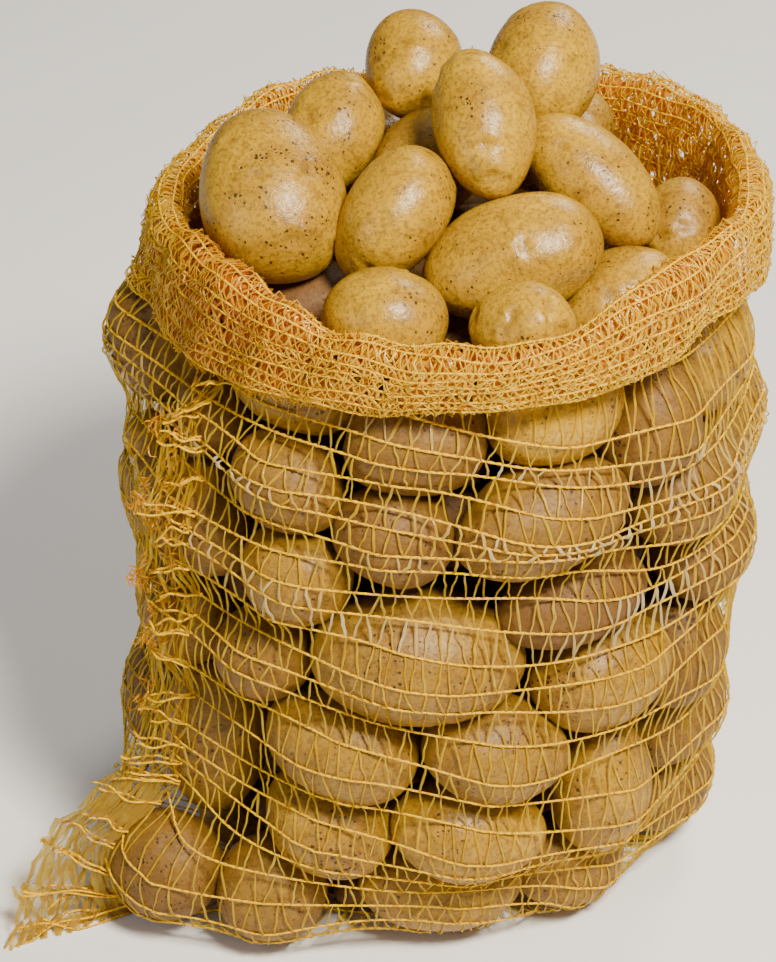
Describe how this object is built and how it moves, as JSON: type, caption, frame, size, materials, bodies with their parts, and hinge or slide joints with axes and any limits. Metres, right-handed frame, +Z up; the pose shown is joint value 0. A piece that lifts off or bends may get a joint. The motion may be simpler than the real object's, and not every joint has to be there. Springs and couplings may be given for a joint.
{
  "type": "mesh sack of potatoes",
  "caption": "Standing knitted net sack filled and heaped with potatoes, its mouth turned down into a soft cuff, with a sewn side seam that ends in a flat corner ear.",
  "frame": {"origin": "middle of the flat round face that rests on the floor", "axes": "+Z up, -Y to the front of the sack, +X to the right seen from the front"},
  "size_m": [0.4104, 0.3514, 0.4657],
  "materials": {
    "net": "yellow knitted polyethylene tape and chain-stitched cord, satin",
    "potato_skin": "washed yellow potato skin, slightly waxy, with small brown specks"
  },
  "bodies": {
    "root": {"heap_potato_1": "potato_skin", "heap_potato_2": "potato_skin", "heap_potato_3": "potato_skin", "heap_potato_4": "potato_skin", "heap_potato_5": "potato_skin", "heap_potato_6": "potato_skin", "heap_potato_7": "potato_skin", "heap_potato_8": "potato_skin", "heap_potato_9": "potato_skin", "heap_potato_10": "potato_skin", "heap_potato_11": "potato_skin", "heap_potato_12": "potato_skin", "heap_potato_13": "potato_skin", "heap_potato_14": "potato_skin", "heap_potato_15": "potato_skin", "heap_potato_16": "potato_skin", "heap_potato_17": "potato_skin", "heap_potato_18": "potato_skin", "wall_potato_1": "potato_skin", "wall_potato_2": "potato_skin", "wall_potato_3": "potato_skin", "wall_potato_4": "potato_skin", "wall_potato_5": "potato_skin", "wall_potato_6": "potato_skin", "wall_potato_7": "potato_skin", "wall_potato_8": "potato_skin", "wall_potato_9": "potato_skin", "wall_potato_10": "potato_skin", "wall_potato_11": "potato_skin", "wall_potato_12": "potato_skin", "wall_potato_13": "potato_skin", "wall_potato_14": "potato_skin", "wall_potato_15": "potato_skin", "wall_potato_16": "potato_skin", "wall_potato_17": "potato_skin", "wall_potato_18": "potato_skin", "wall_potato_19": "potato_skin", "wall_potato_20": "potato_skin", "wall_potato_21": "potato_skin", "wall_potato_22": "potato_skin", "wall_potato_23": "potato_skin", "wall_potato_24": "potato_skin", "wall_potato_25": "potato_skin", "wall_potato_26": "potato_skin", "wall_potato_27": "potato_skin", "wall_potato_28": "potato_skin", "wall_potato_29": "potato_skin", "wall_potato_30": "potato_skin", "wall_potato_31": "potato_skin", "wall_potato_32": "potato_skin", "wall_potato_33": "potato_skin", "wall_potato_34": "potato_skin", "back_potatoes_1": "potato_skin", "back_potatoes_2": "potato_skin", "back_potatoes_3": "potato_skin", "back_potatoes_4": "potato_skin", "back_potatoes_5": "potato_skin", "back_potatoes_6": "potato_skin", "under_potatoes": "potato_skin", "net_sack": "net"}
  },
  "joints": []
}
